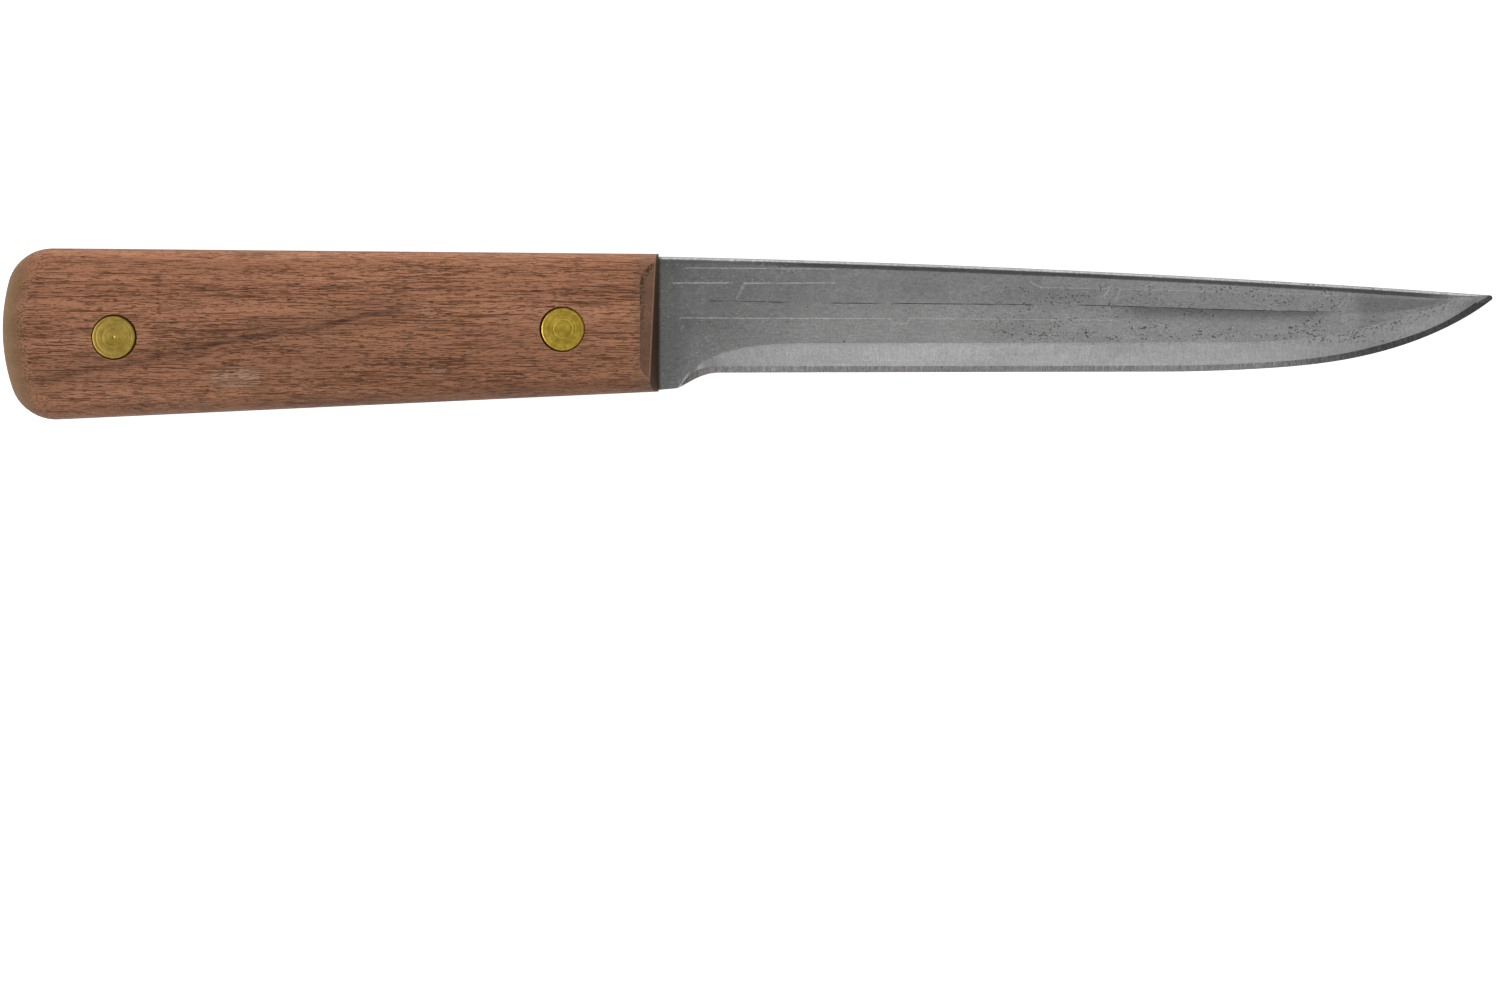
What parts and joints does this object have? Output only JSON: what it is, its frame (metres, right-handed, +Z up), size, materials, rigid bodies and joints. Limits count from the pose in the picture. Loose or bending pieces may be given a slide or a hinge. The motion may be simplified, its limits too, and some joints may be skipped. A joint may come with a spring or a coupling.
{
  "type": "boning knife",
  "caption": "Boning knife with a stiff straight-edged steel blade, a full tang, flat wooden handle scales and flush brass rivets.",
  "frame": {"origin": "bottom centre of the bounding box, with the knife lying on its left handle scale", "axes": "+X from the butt to the tip, +Y from the cutting edge towards the spine, +Z up, out of the blade's right side"},
  "size_m": [0.272, 0.0313, 0.017],
  "materials": {
    "steel": "satin, used",
    "wood": "dry, sanded",
    "brass": "tarnished"
  },
  "bodies": {
    "root": {"blade": "steel", "right_scale": "wood", "left_scale": "wood", "front_rivet_pin": "brass", "front_rivet_socket": "brass", "rear_rivet_pin": "brass", "rear_rivet_socket": "brass"}
  },
  "joints": []
}
